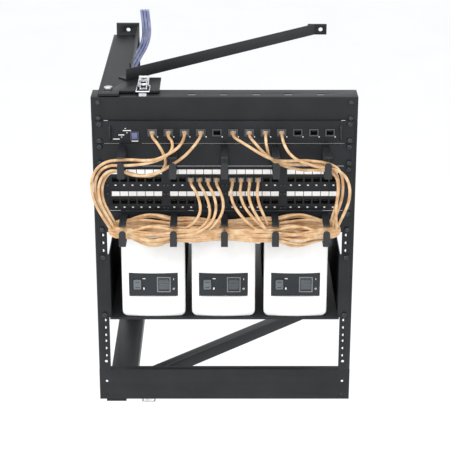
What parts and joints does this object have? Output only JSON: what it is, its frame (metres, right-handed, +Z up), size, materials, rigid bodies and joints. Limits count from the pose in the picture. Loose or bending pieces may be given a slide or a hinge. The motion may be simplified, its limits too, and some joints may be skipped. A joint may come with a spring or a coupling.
{
  "type": "wall-mount swing-gate equipment rack",
  "caption": "Swing-gate wall rack with hub, ring cable managers, patch panel, tan patch cords and small UPS units on a shelf; the gate swings out from its wall bracket.",
  "frame": {"origin": "centre of the four wall bolts, on the wall plane", "axes": "+X to the viewer's right, +Y into the wall, +Z up"},
  "size_m": [0.4947, 0.5302, 0.7163],
  "materials": {
    "black_powder_coat": "fine satin powder coat",
    "zinc_plate": "bright zinc plate",
    "black_oxide": "black oxide",
    "black_abs": "fine spark texture",
    "blue_button": "satin",
    "white_label": "matt card",
    "green_board": "solder mask",
    "battery_case": "moulded",
    "steel_core": "varnished laminations",
    "white_abs": "fine moulded texture",
    "grey_abs": "fine moulded texture",
    "tan_pvc": "satin PVC jacket",
    "lavender_pvc": "satin PVC jacket"
  },
  "bodies": {
    "wall_bracket": {"wall_channel": "black_powder_coat", "top_arm": "black_powder_coat", "bottom_arm": "black_powder_coat", "top_brace": "black_powder_coat", "bottom_brace": "black_powder_coat", "hinge_pins": "zinc_plate", "bracket_bolts": "zinc_plate", "latch_bases": "zinc_plate", "building_cables": "lavender_pvc"},
    "gate": {"left_rail": "black_powder_coat", "right_rail": "black_powder_coat", "header_channel": "black_powder_coat", "bottom_channel": "black_powder_coat", "latch_keepers": "zinc_plate", "hub_face": "black_powder_coat", "hub_chassis": "black_powder_coat", "hub_jacks": "black_abs", "hub_board": "green_board", "upper_manager_panel": "black_powder_coat", "lower_manager_panel": "black_powder_coat", "manager_rings": "black_powder_coat", "patch_plate": "black_powder_coat", "patch_jacks": "black_abs", "patch_labels": "white_label", "patch_blocks": "black_abs", "rack_screws": "black_oxide", "equipment_shelf": "black_powder_coat", "ups_control_panels": "black_abs", "ups_batteries": "battery_case", "ups_transformers": "steel_core", "ups_boards": "green_board", "ups_rear_panels": "black_abs", "left_hank": "tan_pvc", "right_hank": "tan_pvc", "patch_cord_plugs": "black_abs", "ups_1_case": "black_powder_coat", "ups_1_front": "white_abs", "ups_2_case": "black_powder_coat", "ups_2_front": "white_abs", "ups_3_case": "black_powder_coat", "ups_3_front": "white_abs", "patch_cord_1": "tan_pvc", "patch_cord_2": "tan_pvc", "patch_cord_3": "tan_pvc", "patch_cord_4": "tan_pvc", "patch_cord_5": "tan_pvc", "patch_cord_6": "tan_pvc", "patch_cord_7": "tan_pvc", "patch_cord_8": "tan_pvc"},
    "top_lever": {"top_latch_lever": "zinc_plate"},
    "top_bail": {"top_latch_bail": "zinc_plate"},
    "bottom_lever": {"bottom_latch_lever": "zinc_plate"},
    "bottom_bail": {"bottom_latch_bail": "zinc_plate"},
    "hub_button": {"hub_button": "blue_button"},
    "ups_1_rocker": {"ups_1_rocker": "grey_abs"},
    "ups_1_test_button": {"ups_1_test_button": "grey_abs"},
    "ups_2_rocker": {"ups_2_rocker": "grey_abs"},
    "ups_2_test_button": {"ups_2_test_button": "grey_abs"},
    "ups_3_rocker": {"ups_3_rocker": "grey_abs"},
    "ups_3_test_button": {"ups_3_test_button": "grey_abs"}
  },
  "joints": [
    {"name": "gate_swing", "type": "hinge", "parent": "wall_bracket", "child": "gate", "pos_m": [-0.216, -0.4252, 0], "axis": [0, 0, -1], "range_deg": [0, 110]},
    {"name": "top_lever_turn", "type": "hinge", "parent": "wall_bracket", "child": "top_lever", "pos_m": [-0.151, -0.4192, 0.325], "axis": [1, 0, 0], "range_deg": [0, 100]},
    {"name": "top_bail_turn", "type": "hinge", "parent": "top_lever", "child": "top_bail", "pos_m": [-0.151, -0.4112, 0.32], "axis": [1, 0, 0], "range_deg": [-110, 0]},
    {"name": "bottom_lever_turn", "type": "hinge", "parent": "wall_bracket", "child": "bottom_lever", "pos_m": [-0.151, -0.4192, -0.325], "axis": [-1, 0, 0], "range_deg": [0, 100]},
    {"name": "bottom_bail_turn", "type": "hinge", "parent": "bottom_lever", "child": "bottom_bail", "pos_m": [-0.151, -0.4112, -0.32], "axis": [-1, 0, 0], "range_deg": [-110, 0]},
    {"name": "hub_button_press", "type": "slide", "parent": "gate", "child": "hub_button", "axis": [0, 1, 0], "range_m": [0, 0.002], "stiffness_N_per_m": 400, "springref_m": -0.0005},
    {"name": "ups_1_rocker_turn", "type": "hinge", "parent": "gate", "child": "ups_1_rocker", "pos_m": [-0.117, -0.4532, -0.0634], "axis": [-1, 0, 0], "range_deg": [0, 20]},
    {"name": "ups_1_test_press", "type": "slide", "parent": "gate", "child": "ups_1_test_button", "axis": [0, 1, 0], "range_m": [0, 0.0025], "stiffness_N_per_m": 500, "springref_m": -0.0005},
    {"name": "ups_2_rocker_turn", "type": "hinge", "parent": "gate", "child": "ups_2_rocker", "pos_m": [0.018, -0.4532, -0.0634], "axis": [-1, 0, 0], "range_deg": [0, 20]},
    {"name": "ups_2_test_press", "type": "slide", "parent": "gate", "child": "ups_2_test_button", "axis": [0, 1, 0], "range_m": [0, 0.0025], "stiffness_N_per_m": 500, "springref_m": -0.0005},
    {"name": "ups_3_rocker_turn", "type": "hinge", "parent": "gate", "child": "ups_3_rocker", "pos_m": [0.157, -0.4532, -0.0634], "axis": [-1, 0, 0], "range_deg": [0, 20]},
    {"name": "ups_3_test_press", "type": "slide", "parent": "gate", "child": "ups_3_test_button", "axis": [0, 1, 0], "range_m": [0, 0.0025], "stiffness_N_per_m": 500, "springref_m": -0.0005}
  ],
  "couplings": [
    {"joint": "top_bail_turn", "follows": "top_lever_turn", "ratio": -1.1},
    {"joint": "bottom_bail_turn", "follows": "bottom_lever_turn", "ratio": -1.1}
  ]
}
